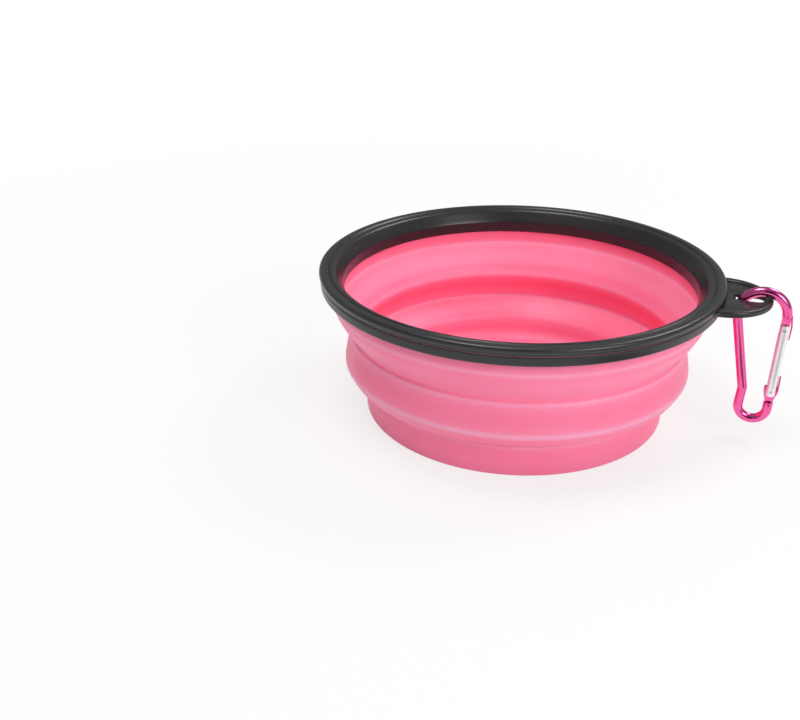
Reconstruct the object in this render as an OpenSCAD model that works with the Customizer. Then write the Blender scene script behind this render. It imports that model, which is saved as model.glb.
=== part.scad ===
// Collapsible travel bowl: a soft pleated cup in a stiff two-part rim, with a hang tab and a snap hook.
// Millimetres, +Z up. Origin at the middle of the base underside; +X runs out along the hang tab.

/* [Rim] */
// Outer diameter of the rim
rim_d = 130; // [120:1:160]
// Height of the open bowl, from its base to the top of the rim
bowl_h = 49.5; // [47:0.5:60]
// Height of the rim ring's outer edge
lip_h = 2.9; // [2.4:0.1:4]
// Radius on the rim's top outer edge
lip_round = 1; // [0.4:0.1:1.6]
// Width of the flat land on top of the rim
land_w = 2.6; // [2:0.1:4]
// Step from the land down to the sloping inner face
land_step = 0.35; // [0.2:0.05:0.6]
// Height of the sloping inner face
slope_h = 3.1; // [2.4:0.1:4]
// Height of the upright throat wall under the slope
throat_h = 4.8; // [3:0.1:6]
// Width of the rim, from its outer edge in to the throat
rim_w = 7.8; // [6.5:0.1:9]
// Thickness of the throat wall
throat_wall = 0.8; // [0.6:0.1:1.2]

/* [Retaining ring] */
// Height of the retaining ring
ring_h = 2.3; // [1.6:0.1:4]
// How far the retaining ring stands inside the rim's edge
ring_inset = 0.4; // [0.35:0.05:1]
// Radius on the retaining ring's lower outer edge
ring_round = 0.7; // [0.2:0.1:1.2]

/* [Soft wall] */
// Thickness of the soft wall
wall = 2; // [1.4:0.1:2.6]
// Thickness of the flange clamped in the rim
flange_t = 0.6; // [0.4:0.1:1.2]
// Height of the upright collar under the flange
collar_h = 7.5; // [6:0.1:9]
// Height of the bevel that leads the collar into the flange
collar_bevel = 1.6; // [1:0.1:2]
// Height of the base cup
base_h = 10.7; // [8:0.1:14]
// Height of the lower fold
lower_fold_h = 6.7; // [5:0.1:9]
// Height of the middle ring
middle_h = 10.6; // [8:0.1:13]
// How far the upper fold draws in from the collar to its neck
upper_pleat = 5.75; // [4:0.05:7]
// How far the middle ring's top stands out from the neck
middle_step = 1.1; // [0.6:0.1:1.6]
// How far the middle ring flares out towards its foot
middle_flare = 1.8; // [1:0.1:2.6]
// How far the lower fold draws in from the middle ring to its neck
lower_pleat = 7.6; // [6:0.1:9]
// How far the base cup stands out from the neck
base_step = 0.4; // [0.2:0.1:1]
// Height of the shoulder under each neck
shoulder_h = 0.8; // [0.4:0.1:1.2]
// Height of the thick crest inside each neck
crest_h = 2.4; // [1.6:0.1:3]
// Thickness of the floor
floor_t = 2; // [1.4:0.1:3]
// Radius of the corner between floor and wall
floor_round = 4; // [2:0.2:6]
// Radius on the base's lower edge
base_round = 1.2; // [0.6:0.1:2]

/* [Hang tab] */
// Radius of the tab's round end
tab_r = 15; // [13:0.2:18]
// Reach of the tab beyond the rim
tab_reach = 13.8; // [12:0.2:18]
// Width of the tab's raised border
border_w = 2.4; // [2:0.1:3]
// Thickness of the tab's raised border
border_t = 2.1; // [1.8:0.1:3]
// Radius on the border's edges
border_round = 0.8; // [0.4:0.05:0.85]
// Thickness of the tab's web
web_t = 1; // [0.8:0.1:1.4]
// How far the border's top lies below the rim's top
border_drop = 1.9; // [1.2:0.1:2.6]
// Radius where the tab runs into the rim
root_fillet = 3; // [1.5:0.1:5]
// Width of the slot in the web
slot_w = 5; // [4.4:0.1:6]
// Radius of the slot's two inner lobes
lobe_r = 1.3; // [1:0.1:1.6]
// Distance of each lobe's centre from the slot's middle line
lobe_side = 1.6; // [1.4:0.1:2]
// Bridge left between the lobes and the rim
slot_bridge = 1.4; // [1:0.1:2]

/* [Snap hook] */
// Diameter of the hook's rod
rod_d = 3; // [2.6:0.1:3.4]
// Bend radius of the large end, at the rod's middle
arc_r = 7.2; // [6.6:0.1:8.2]
// Bend radius of the small loop, at the rod's middle
loop_r = 4.4; // [4:0.05:5.2]
// Angle of the spine to the hook's middle line
spine_lean = 8.2; // [6.5:0.1:10]
// Depth of the waist below the large bend's centre
waist_drop = 25.4; // [22:0.1:30]
// Depth of the small loop's centre below the waist
loop_drop = 6.3; // [5.4:0.1:8]
// Bend radius of the waist, at the rod's middle
waist_bend = 4; // [2.5:0.1:6]
// Length of the straight nose after the loop
nose_len = 2.4; // [1.6:0.1:3]
// Tilt of the hanging hook, foot outwards
hang_tilt = 3.2; // [0:0.1:6]
// Angle from the tab's border to the large bend's centre
hang_lean = 21; // [15:0.5:26]

/* [Gate] */
// Diameter of the gate
gate_d = 3.1; // [2.7:0.1:3.3]
// Gap between the gate and each end of the rod
gate_gap = 2.4; // [1.8:0.1:2.8]
// Distance of each pin from its end of the gate
pin_back = 1.6; // [1.4:0.1:2]
// Diameter of the hinge rivet
rivet_d = 1.2; // [1:0.05:1.4]
// Diameter of the latch pin
latch_d = 1; // [0.8:0.05:1.2]
// Thickness of the two tongues
tongue_t = 1.1; // [0.9:0.05:1.3]
// Width of the two tongues
tongue_w = 2.6; // [2.2:0.05:2.8]
// Wire of the gate spring
spring_wire = 0.3; // [0.2:0.02:0.36]
// Turns of the gate spring
spring_turns = 7; // [4:1:9]
// Rise of the gate spring for each turn
spring_pitch = 0.8; // [0.72:0.02:1]
// Diameter of the spring's bore
spring_bore_d = 1.9; // [1.7:0.05:2]
// Length of the spring plunger
plunger_len = 1.6; // [1.2:0.1:2.4]

/* [Fits] */
// Clearance between pieces that are clamped together
fit_gap = 0.05; // [0.03:0.01:0.1]
// Radial clearance of each pin in its hole
pin_gap = 0.03; // [0.02:0.01:0.06]
// Clearance between a tongue and its slot, on each side
slot_gap = 0.1; // [0.08:0.01:0.2]
// Clearance of the hook's rod over the tab's border
hang_gap = 0.35; // [0.3:0.05:0.6]

/* [Hidden] */
$fn = 120;
// Steps in one quarter of a rounded edge
edge_steps = 8;
// Overrun of every cut past the face that it opens
over = 1;
// How deep a joined shape is set into the one that carries it
bite = 0.3;
// How much thinner the rod's straight stretches are than its bends
draw_step = 0.02;
// How deep a tongue is set into the rod
tongue_root = 0.8;
// Room left past the round end of a tongue
tongue_room = 0.4;
// Sides of the spring wire and rings in one turn
wire_sides = 6;
turn_rings = 12;

rim_r = rim_d / 2;
throat_r = rim_r - rim_w;
flange_z = bowl_h - lip_h;
slope_z = bowl_h - land_step - slope_h;
throat_z = slope_z - throat_h;
ring_r = rim_r - ring_inset;
ring_top_z = flange_z - flange_t;

collar_in = throat_r + throat_wall + fit_gap;
collar_r = collar_in + wall;
lower_fold_z = base_h;
middle_z = lower_fold_z + lower_fold_h;
upper_fold_z = middle_z + middle_h;
collar_z = ring_top_z - collar_h;
upper_neck_r = collar_r - upper_pleat;
middle_top_r = upper_neck_r + middle_step;
middle_foot_r = middle_top_r + middle_flare;
lower_neck_r = middle_foot_r - lower_pleat;
base_r = lower_neck_r + base_step;
floor_r = lower_neck_r - wall - floor_round;

tab_x = rim_r + tab_reach - tab_r;
border_top_z = bowl_h - border_drop;
border_z = border_top_z - border_t;
web_z = border_z + (border_t - web_t) / 2;
border_mid_x = tab_x + tab_r - border_w / 2;
border_mid_z = border_z + border_t / 2;
fillet_rim = rim_r - bite;
fillet_tab = tab_r - bite;
rim_reach = fillet_rim + root_fillet;
tab_span = fillet_tab + root_fillet;
fillet_x = (pow(rim_reach, 2) - pow(tab_span, 2) + pow(tab_x, 2)) / (2 * tab_x);
fillet_y = sqrt(pow(rim_reach, 2) - pow(fillet_x, 2));
corner_rim = fillet_rim - bite;
corner_tab = fillet_tab - bite;
corner_x = (pow(corner_rim, 2) - pow(corner_tab, 2) + pow(tab_x, 2)) / (2 * tab_x);
corner_y = sqrt(pow(corner_rim, 2) - pow(corner_x, 2));
tab_root_r = rim_r - bite / 2;
lobe_x = rim_r + slot_bridge + lobe_r;
slot_end_x = tab_x + tab_r - border_w - slot_w / 2 - fit_gap;

rod_r = rod_d / 2;
hang_dist = arc_r - rod_r - border_t / 2 - hang_gap;
hang_x = border_mid_x - hang_dist * sin(hang_lean);
hang_z = border_mid_z - hang_dist * cos(hang_lean);
loop_depth = waist_drop + loop_drop;
gate_lean = asin((arc_r - loop_r) / loop_depth);
gate_span = sqrt(pow(loop_depth, 2) - pow(arc_r - loop_r, 2)) - nose_len;
gate_top = [arc_r * cos(gate_lean), -arc_r * sin(gate_lean)];
spine_top = [-arc_r * cos(spine_lean), -arc_r * sin(spine_lean)];
waist = [spine_top.x + (waist_drop + spine_top.y) * tan(spine_lean), -waist_drop];
loop_mid = [0, -loop_depth];
waist_dist = norm(waist - loop_mid);
loop_start = atan2(waist.y - loop_mid.y, waist.x - loop_mid.x) + acos(loop_r / waist_dist);
loop_end = 360 - gate_lean;
loop_top = loop_mid + loop_r * [cos(loop_start), sin(loop_start)];
nose_foot = loop_mid + loop_r * [cos(loop_end), sin(loop_end)];
foot_lean = 180 - loop_start;
waist_cut = waist_bend * tan((spine_lean + foot_lean) / 2);
spine_end = waist + waist_cut * [-sin(spine_lean), cos(spine_lean)];
foot_end = waist + waist_cut * [-sin(foot_lean), -cos(foot_lean)];
waist_mid = spine_end - waist_bend * [cos(spine_lean), sin(spine_lean)];

gate_r = gate_d / 2;
pin_depth = gate_gap + pin_back;
tongue_r = tongue_w / 2;
gate_slot_w = tongue_t + 2 * slot_gap;
slot_depth = pin_back + tongue_r + tongue_room;
plunger_top = pin_depth + tongue_r + slot_gap;
spring_top = plunger_top + plunger_len + slot_gap;
spring_len = spring_turns * spring_pitch;
spring_bore_end = spring_top + spring_len + spring_wire / 2 + slot_gap;
spring_r = spring_bore_d / 2 - slot_gap - spring_wire / 2;
plunger_r = spring_bore_d / 2 - pin_gap;

rim_black = [0.13, 0.13, 0.14];
soft_pink = [1, 0.36, 0.5];
fold_pink = [1, 0.47, 0.6];
hook_pink = [0.86, 0.16, 0.42];
bare_steel = [0.78, 0.79, 0.8];

// Points of a round stretch about [x, z]
function arc_points(x, z, r, from, to) = [
    for (i = [0 : edge_steps])
        let (a = from + (to - from) * i / edge_steps)
            [x + r * cos(a), z + r * sin(a)]
];

// Outline of an upright rectangle with round corners
function round_box(x0, x1, z0, z1, r) = concat(
    arc_points(x1 - r, z0 + r, r, -90, 0),
    arc_points(x1 - r, z1 - r, r, 0, 90),
    arc_points(x0 + r, z1 - r, r, 90, 180),
    arc_points(x0 + r, z0 + r, r, 180, 270)
);

// Middle line of the spring at step i, running down the gate
function coil_point(i) =
    let (a = 360 * i / turn_rings)
        [spring_r * cos(a), -spring_top - spring_wire / 2 - spring_pitch * i / turn_rings, spring_r * sin(a)];

// One ring of the spring's wire at step i
function coil_ring(i) =
    let (a = 360 * i / turn_rings, mid = coil_point(i))
        [for (k = [0 : wire_sides - 1])
            let (b = 360 * k / wire_sides, out = spring_wire / 2 * cos(b))
                mid + [out * cos(a), spring_wire / 2 * sin(b), out * sin(a)]];

// A straight rod in the hook's plane, set into the bend at each end by its share of the bite
module rod(from, to, end_shares) {
    run = to - from;
    translate([from.x, from.y, 0])
        rotate([0, 0, atan2(run.y, run.x)])
            rotate([0, 90, 0])
                translate([0, 0, -bite * end_shares[0]])
                    cylinder(r = rod_r - draw_step, h = norm(run) + bite * (end_shares[0] + end_shares[1]));
}

// A bent rod about a point of the hook's plane
module bend(mid, bend_r, from, to) {
    translate([mid.x, mid.y, 0])
        rotate([0, 0, from])
            rotate_extrude(angle = to - from)
                translate([bend_r, 0])
                    circle(r = rod_r);
}

// Sets the hook's own plane upright where it hangs from the tab
module hung() {
    translate([hang_x, 0, hang_z])
        rotate([0, -hang_tilt, 0])
            rotate([90, 0, 0])
                children();
}

// The gate's own axes: middle of the rod's hinge end, gate running down -Y
module along_gate() {
    hung()
        translate([gate_top.x, gate_top.y, 0])
            rotate([0, 0, -gate_lean])
                children();
}

// A cylinder down the gate's axis between two depths
module down_gate(r, from, to) {
    translate([0, -from, 0])
        rotate([90, 0, 0])
            cylinder(r = r, h = to - from);
}

// A cylinder across the gate at a depth
module across_gate(r, depth, len) {
    translate([0, -depth, 0])
        cylinder(r = r, h = len, center = true);
}

// A flat tongue with a round end, from one depth to the other
module tongue(root, tip) {
    linear_extrude(height = tongue_t, center = true) {
        translate([-tongue_r, -max(root, tip)])
            square([tongue_w, abs(tip - root)]);
        translate([0, -tip])
            circle(r = tongue_r);
    }
}

// The slot in the tab's web, with two lobes at its inner end
module tab_slot() {
    translate([lobe_x, -slot_w / 2])
        square([slot_end_x - lobe_x, slot_w]);
    translate([slot_end_x, 0])
        circle(r = slot_w / 2);
    for (side = [-1, 1])
        translate([lobe_x, side * lobe_side])
            circle(r = lobe_r);
}

// The curved gusset on one side of the tab's root
module tab_gusset(side) {
    on_rim = fillet_rim / rim_reach;
    on_tab = fillet_tab / tab_span;
    difference() {
        polygon([
            [fillet_x * on_rim, side * fillet_y * on_rim],
            [fillet_x, side * fillet_y],
            [tab_x + (fillet_x - tab_x) * on_tab, side * fillet_y * on_tab],
            [corner_x, side * corner_y]
        ]);
        translate([fillet_x, side * fillet_y])
            circle(r = root_fillet);
    }
}

// The hang tab, open at the rim
module hang_tab() {
    difference() {
        union() {
            translate([tab_x, 0, 0])
                rotate_extrude()
                    polygon(round_box(tab_r - border_w, tab_r, border_z, border_top_z, border_round));
            translate([tab_x, 0, web_z])
                cylinder(r = tab_r - border_w / 2, h = web_t);
            for (side = [-1, 1])
                translate([0, 0, web_z])
                    linear_extrude(height = web_t)
                        tab_gusset(side);
        }
        translate([0, 0, border_z - over])
            cylinder(r = tab_root_r, h = border_t + 2 * over);
        translate([0, 0, border_z - over])
            linear_extrude(height = border_t + 2 * over)
                tab_slot();
    }
}

module rim_ring() {
    color(rim_black)
        union() {
            rotate_extrude()
                polygon(concat(
                    [
                        [throat_r, throat_z],
                        [throat_r + throat_wall, throat_z],
                        [throat_r + throat_wall, flange_z - collar_bevel],
                        [collar_r, flange_z],
                        [rim_r, flange_z]
                    ],
                    arc_points(rim_r - lip_round, bowl_h - lip_round, lip_round, 0, 90),
                    [
                        [rim_r - land_w, bowl_h],
                        [rim_r - land_w - land_step, bowl_h - land_step],
                        [throat_r, slope_z]
                    ]
                ));
            hang_tab();
        }
}

module retaining_ring() {
    color(rim_black)
        rotate_extrude()
            polygon(concat(
                [[collar_r + fit_gap, ring_top_z], [collar_r + fit_gap, ring_top_z - ring_h]],
                arc_points(ring_r - ring_round, ring_top_z - ring_h + ring_round, ring_round, -90, 0),
                [[ring_r, ring_top_z]]
            ));
}

module wall_collar() {
    color(soft_pink)
        rotate_extrude()
            polygon([
                [collar_in, collar_z],
                [collar_r, collar_z],
                [collar_r, ring_top_z],
                [ring_r, ring_top_z],
                [ring_r, flange_z],
                [collar_r, flange_z],
                [collar_in, flange_z - collar_bevel]
            ]);
}

module upper_fold() {
    color(fold_pink)
        rotate_extrude()
            polygon([
                [upper_neck_r - wall, upper_fold_z],
                [upper_neck_r, upper_fold_z],
                [collar_r, collar_z],
                [collar_in, collar_z]
            ]);
}

module middle_ring() {
    color(soft_pink)
        rotate_extrude()
            polygon([
                [middle_foot_r - wall, middle_z],
                [middle_foot_r, middle_z],
                [middle_top_r, upper_fold_z - shoulder_h],
                [upper_neck_r, upper_fold_z],
                [upper_neck_r - wall, upper_fold_z],
                [upper_neck_r - wall, upper_fold_z - crest_h]
            ]);
}

module lower_fold() {
    color(fold_pink)
        rotate_extrude()
            polygon([
                [lower_neck_r - wall, lower_fold_z],
                [lower_neck_r, lower_fold_z],
                [middle_foot_r, middle_z],
                [middle_foot_r - wall, middle_z]
            ]);
}

module base_cup() {
    color(soft_pink)
        rotate_extrude()
            polygon(concat(
                [[0, floor_t], [0, 0]],
                arc_points(base_r - base_round, base_round, base_round, -90, 0),
                [
                    [base_r, base_h - shoulder_h],
                    [lower_neck_r, base_h],
                    [lower_neck_r - wall, base_h]
                ],
                arc_points(floor_r, floor_t + floor_round, floor_round, 0, -90)
            ));
}

module hook_body() {
    color(hook_pink)
        difference() {
            union() {
                hung() {
                    bend([0, 0], arc_r, -gate_lean, 180 + spine_lean);
                    rod(spine_top, spine_end, [1, 1]);
                    bend(waist_mid, waist_bend, -foot_lean, spine_lean);
                    rod(foot_end, loop_top, [1, 1]);
                    bend(loop_mid, loop_r, loop_start, loop_end);
                    rod(nose_foot, nose_foot + nose_len * [sin(gate_lean), cos(gate_lean)], [1, 0]);
                }
                along_gate() {
                    tongue(-tongue_root, pin_depth);
                    tongue(gate_span + tongue_root, gate_span - pin_depth);
                }
            }
            along_gate() {
                across_gate(rivet_d / 2 + pin_gap, pin_depth, gate_d);
                across_gate(latch_d / 2 + slot_gap, gate_span - pin_depth, gate_d);
                translate([-tongue_w, -(gate_span - pin_depth) - latch_d / 2 - slot_gap, -tongue_t])
                    cube([tongue_w, latch_d + 2 * slot_gap, 2 * tongue_t]);
            }
        }
}

module gate_bar() {
    color(bare_steel)
        along_gate()
            difference() {
                down_gate(gate_r, gate_gap, gate_span - gate_gap);
                for (end = [gate_gap - over, gate_span - gate_gap - slot_depth])
                    translate([-gate_d, -end - slot_depth - over, -gate_slot_w / 2])
                        cube([2 * gate_d, slot_depth + over, gate_slot_w]);
                across_gate(rivet_d / 2 + pin_gap, pin_depth, 2 * gate_d);
                across_gate(latch_d / 2 + pin_gap, gate_span - pin_depth, 2 * gate_d);
                down_gate(spring_bore_d / 2, pin_depth, spring_bore_end);
            }
}

module hinge_rivet() {
    color(bare_steel)
        along_gate()
            across_gate(rivet_d / 2, pin_depth, gate_d);
}

module latch_pin() {
    color(bare_steel)
        along_gate()
            across_gate(latch_d / 2, gate_span - pin_depth, gate_d);
}

module gate_spring() {
    steps = spring_turns * turn_rings;
    color(bare_steel)
        along_gate()
            polyhedron(
                points = [for (i = [0 : steps]) each coil_ring(i)],
                faces = concat(
                    [[for (k = [0 : wire_sides - 1]) k]],
                    [for (i = [0 : steps - 1], k = [0 : wire_sides - 1])
                        let (next = (k + 1) % wire_sides)
                            each [
                                [i * wire_sides + k, (i + 1) * wire_sides + k, i * wire_sides + next],
                                [i * wire_sides + next, (i + 1) * wire_sides + k, (i + 1) * wire_sides + next]
                            ]],
                    [[for (k = [wire_sides - 1 : -1 : 0]) steps * wire_sides + k]]
                )
            );
}

module spring_plunger() {
    color(bare_steel)
        along_gate()
            down_gate(plunger_r, plunger_top, plunger_top + plunger_len);
}

rim_ring();
retaining_ring();
wall_collar();
upper_fold();
middle_ring();
lower_fold();
base_cup();
hook_body();
gate_bar();
hinge_rivet();
latch_pin();
gate_spring();
spring_plunger();
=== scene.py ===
"""Dresses the collapsible silicone bowl: pleated soft wall, two-part rim with its hang tab, and the snap hook.

Every size is in millimetres until a mesh becomes a piece; pieces are in metres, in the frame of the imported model.
"""

import logging
import math
from dataclasses import dataclass, field
from enum import Enum
from typing import Any, Sequence, Union

import bmesh
import bpy
from bmesh.types import BMEdge, BMesh, BMFace, BMVert
from mathutils import Matrix, Vector


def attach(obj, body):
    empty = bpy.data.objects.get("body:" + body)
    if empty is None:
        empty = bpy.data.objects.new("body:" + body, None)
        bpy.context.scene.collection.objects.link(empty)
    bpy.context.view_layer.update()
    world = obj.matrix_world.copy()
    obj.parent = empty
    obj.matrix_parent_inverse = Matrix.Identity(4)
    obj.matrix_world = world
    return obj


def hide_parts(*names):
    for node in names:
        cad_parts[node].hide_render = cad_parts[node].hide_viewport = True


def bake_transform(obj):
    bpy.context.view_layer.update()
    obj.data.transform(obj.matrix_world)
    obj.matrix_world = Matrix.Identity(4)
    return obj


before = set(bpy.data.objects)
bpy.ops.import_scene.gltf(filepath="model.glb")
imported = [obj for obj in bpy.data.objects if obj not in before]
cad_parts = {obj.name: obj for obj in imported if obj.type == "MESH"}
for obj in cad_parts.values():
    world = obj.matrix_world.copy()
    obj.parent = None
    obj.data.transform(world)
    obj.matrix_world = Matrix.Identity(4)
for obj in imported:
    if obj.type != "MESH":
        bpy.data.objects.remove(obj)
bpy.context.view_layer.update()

LOG = logging.getLogger("bowl")
MM = 0.001
WELD_MM = 0.0004
SHARP_TURN = 42.0
Pair = tuple[float, float]
Triple = tuple[float, float, float]
Rgb = Triple


class Body(str, Enum):
    """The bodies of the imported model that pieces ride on."""

    RIM = "rim"
    RING = "ring"
    BASE = "base"
    HOOK = "hook"
    GATE = "gate"


class Slot(str, Enum):
    """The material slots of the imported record."""

    RIM_PLASTIC = "rim_plastic"
    SOFT_WALL = "soft_wall"
    HOOK_METAL = "hook_metal"
    GATE_METAL = "gate_metal"
    PIN_STEEL = "pin_steel"


class Mark(str, Enum):
    """Attributes that the meshes carry for their finishes."""

    # weights of painted highlight and painted shade on the soft wall
    PAINTED_LIGHT = "crest_mark"
    MOULDED = "moulded_at"


class Signal:
    """A value socket; arithmetic on it adds Math nodes to its graph."""

    def __init__(self, graph: "Graph", socket: bpy.types.NodeSocket) -> None:
        """Wraps one output socket of a graph."""
        self.graph = graph
        self.socket = socket

    def maths(self, operation: str, *values: "Operand", clamp: bool = False) -> "Signal":
        """Adds one Math node.

        Args:
            operation: the Math node's operation.
            values: its inputs in order, signals or numbers.
            clamp: whether the result is kept from 0 to 1.

        Returns:
            The node's result.
        """
        return self.graph.node(
            "ShaderNodeMath", {"operation": operation, "use_clamp": clamp}, dict(enumerate(values))
        )["Value"]

    def __add__(self, other: "Operand") -> "Signal":
        """Sum."""
        return self.maths("ADD", self, other)

    def __radd__(self, other: "Operand") -> "Signal":
        """Sum, with a number on the left."""
        return self.maths("ADD", other, self)

    def __sub__(self, other: "Operand") -> "Signal":
        """Difference."""
        return self.maths("SUBTRACT", self, other)

    def __rsub__(self, other: "Operand") -> "Signal":
        """Difference, with a number on the left."""
        return self.maths("SUBTRACT", other, self)

    def __mul__(self, other: "Operand") -> "Signal":
        """Product."""
        return self.maths("MULTIPLY", self, other)

    def __rmul__(self, other: "Operand") -> "Signal":
        """Product, with a number on the left."""
        return self.maths("MULTIPLY", other, self)

    def __truediv__(self, other: "Operand") -> "Signal":
        """Quotient."""
        return self.maths("DIVIDE", self, other)

    def __rtruediv__(self, other: "Operand") -> "Signal":
        """Quotient, with a number on the left."""
        return self.maths("DIVIDE", other, self)

    def __pow__(self, other: "Operand") -> "Signal":
        """Power."""
        return self.maths("POWER", self, other)

    def clamped(self) -> "Signal":
        """The value kept from 0 to 1."""
        return self.maths("ADD", self, 0.0, clamp=True)

    def highest(self, other: "Operand") -> "Signal":
        """The larger of two values."""
        return self.maths("MAXIMUM", self, other)

    def near(self, value: float, reach: float) -> "Signal":
        """1 where the signal is at a value, falling to 0 at a reach from it."""
        gap = self.maths("ABSOLUTE", self - value)
        return (1.0 - gap / reach).clamped()


Operand = Union[Signal, float]


class Outputs:
    """The outputs of one node, by name or identifier."""

    def __init__(self, graph: "Graph", node: bpy.types.Node) -> None:
        """Wraps one node of a graph."""
        self.graph = graph
        self.node = node

    def __getitem__(self, key: str) -> Signal:
        """The output of that name."""
        return Signal(self.graph, find_socket(self.node.outputs, key))


def find_socket(sockets: Any, key: Union[str, int]) -> bpy.types.NodeSocket:
    """Finds a socket by index, identifier or name.

    Args:
        sockets: a node's inputs or outputs.
        key: the socket's index, identifier or name.

    Returns:
        The socket.
    """
    if isinstance(key, int):
        return sockets[key]
    for socket in sockets:
        if socket.identifier == key:
            return socket
    return sockets[key]


class Graph:
    """The node tree of one material or of the world."""

    def __init__(self, tree: bpy.types.NodeTree) -> None:
        """Empties a node tree to build it afresh."""
        self.tree = tree
        tree.nodes.clear()

    def node(
        self, kind: str, settings: Union[dict[str, Any], None] = None, inputs: Union[dict[Any, Any], None] = None
    ) -> Outputs:
        """Adds a node.

        Args:
            kind: the node's type.
            settings: its properties, set first; "stops" gives a colour ramp's positions and colours.
            inputs: values or links for its sockets, by index, identifier or name.

        Returns:
            The node's outputs.
        """
        made = self.tree.nodes.new(kind)
        for name, value in (settings or {}).items():
            if name == "stops":
                ramp = made.color_ramp.elements
                while len(ramp) < len(value):
                    ramp.new(1.0)
                for element, (place, colour) in zip(ramp, value):
                    element.position = place
                    element.color = (*colour, 1.0)
            else:
                setattr(made, name, value)
        for key, value in (inputs or {}).items():
            socket = find_socket(made.inputs, key)
            if isinstance(value, Signal):
                self.tree.links.new(value.socket, socket)
            elif isinstance(value, tuple) and len(value) == 3 and socket.type == "RGBA":
                socket.default_value = (*value, 1.0)
            else:
                socket.default_value = value
        return Outputs(self, made)

    def blend(self, factor: Operand, below: Union[Signal, Rgb], above: Union[Signal, Rgb]) -> Signal:
        """Mixes two colours.

        Args:
            factor: share of the second colour.
            below: the first colour.
            above: the second colour.

        Returns:
            The mixed colour.
        """
        return self.node(
            "ShaderNodeMix",
            {"data_type": "RGBA"},
            {"Factor_Float": factor, "A_Color": below, "B_Color": above},
        )["Result_Color"]

    def noise(self, place: Signal, scale: float, detail: float = 2.0, rough: float = 0.5) -> Signal:
        """Adds a noise texture.

        Args:
            place: the coordinates it reads.
            scale: cells to the metre.
            detail: octaves.
            rough: share of the finer octaves.

        Returns:
            The noise, from 0 to 1 about 0.5.
        """
        return self.node(
            "ShaderNodeTexNoise", None, {"Vector": place, "Scale": scale, "Detail": detail, "Roughness": rough}
        )["Fac"]

    def bump(self, height: Signal, depth: float, strength: float = 1.0) -> Signal:
        """Adds a Bump node.

        Args:
            height: the relief.
            depth: what a relief of 1 stands for, in metres.
            strength: how much of it shows.

        Returns:
            The bent normal.
        """
        return self.node("ShaderNodeBump", None, {"Height": height, "Distance": depth, "Strength": strength})["Normal"]

    def object_place(self) -> Signal:
        """Object coordinates."""
        return self.node("ShaderNodeTexCoord")["Object"]

    def mark(self, name: Mark, output: str = "Fac") -> Signal:
        """An attribute that the mesh carries."""
        return self.node("ShaderNodeAttribute", {"attribute_name": name.value})[output]

    def split(self, vector: Signal) -> tuple[Signal, Signal, Signal]:
        """The three parts of a vector."""
        parts = self.node("ShaderNodeSeparateXYZ", None, {"Vector": vector})
        return parts["X"], parts["Y"], parts["Z"]

    def stretch(self, vector: Signal, scale: Triple, turn: Triple = (0.0, 0.0, 0.0)) -> Signal:
        """Coordinates scaled along each axis, and turned in degrees, through a Mapping node."""
        return self.node(
            "ShaderNodeMapping",
            None,
            {"Vector": vector, "Scale": scale, "Rotation": tuple(math.radians(a) for a in turn)},
        )["Vector"]


def new_material(name: str) -> tuple[bpy.types.Material, Graph]:
    """Starts a material.

    Args:
        name: of the material.

    Returns:
        The material and its empty graph.
    """
    material = bpy.data.materials.new(name)
    material.use_nodes = True
    return material, Graph(material.node_tree)


@dataclass(frozen=True)
class Finish:
    """A finish: one Principled surface whose changing parts come from a graph."""

    name: str
    colour: Rgb
    roughness: float
    metallic: float = 0.0
    specular: float = 0.5

    def make(self) -> bpy.types.Material:
        """Builds the material.

        Returns:
            The material, ready to go into an object's slot.
        """
        material, graph = new_material(self.name)
        inputs: dict[str, Any] = {
            "Base Color": self.colour,
            "Roughness": self.roughness,
            "Metallic": self.metallic,
            "Specular IOR Level": self.specular,
        }
        inputs.update(self.detail(graph))
        surface = graph.node("ShaderNodeBsdfPrincipled", None, inputs)
        graph.node("ShaderNodeOutputMaterial", None, {"Surface": surface["BSDF"]})
        return material

    def detail(self, graph: Graph) -> dict[str, Any]:
        """The sockets of the surface that this finish sets; each finish has its own."""
        raise NotImplementedError


@dataclass(frozen=True)
class Silicone(Finish):
    """Soft matt silicone, with painted highlights along its folds and painted shade in its hollows."""

    # a darker tone for the random mottling, and also the colour of the painted shade in the hollows
    deep_tone_and_shade: Rgb = (0.95, 0.09, 0.17)
    # the colour of the painted highlights along the folds
    highlight_tint: Rgb = (1.0, 0.56, 0.76)
    scatter: float = 0.22

    def detail(self, graph: Graph) -> dict[str, Any]:
        """Mottling in the colour, painted highlights on the fold tops, painted shade in the hollows, fine moulded
        grain.
        """
        place = graph.mark(Mark.MOULDED, "Vector")
        # ring weights: positive where highlights are painted, negative where shade is painted
        crest = graph.mark(Mark.PAINTED_LIGHT)
        clouds = graph.noise(place, 55.0, 3.0)
        grain = graph.noise(place, 2600.0, 2.0, 0.6)
        ripple = graph.noise(place, 240.0, 2.0)
        # painted shade: the negative ring weights
        painted_shade = (crest * -1.0).clamped()
        # random mottling and painted shade, both towards the darker tone
        mottle_and_shade = graph.blend(((clouds - 0.35) * 0.4 + painted_shade * 0.6).clamped(), self.colour, self.deep_tone_and_shade)
        # painted highlight: the positive ring weights, made a little uneven
        painted_highlight = (crest * (0.8 + 0.4 * (ripple - 0.5))).clamped()
        return {
            "Base Color": graph.blend(painted_highlight * 0.7, mottle_and_shade, self.highlight_tint),
            "Roughness": (self.roughness + 0.16 * (clouds - 0.5) + 0.08 * (grain - 0.5)).clamped(),
            "Normal": graph.bump(grain * 0.35 + ripple * 0.65, 0.00006, 0.55),
            "Subsurface Weight": self.scatter,
            "Subsurface Radius": (1.0, 0.28, 0.3),
            "Subsurface Scale": 0.0022,
        }


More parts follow.
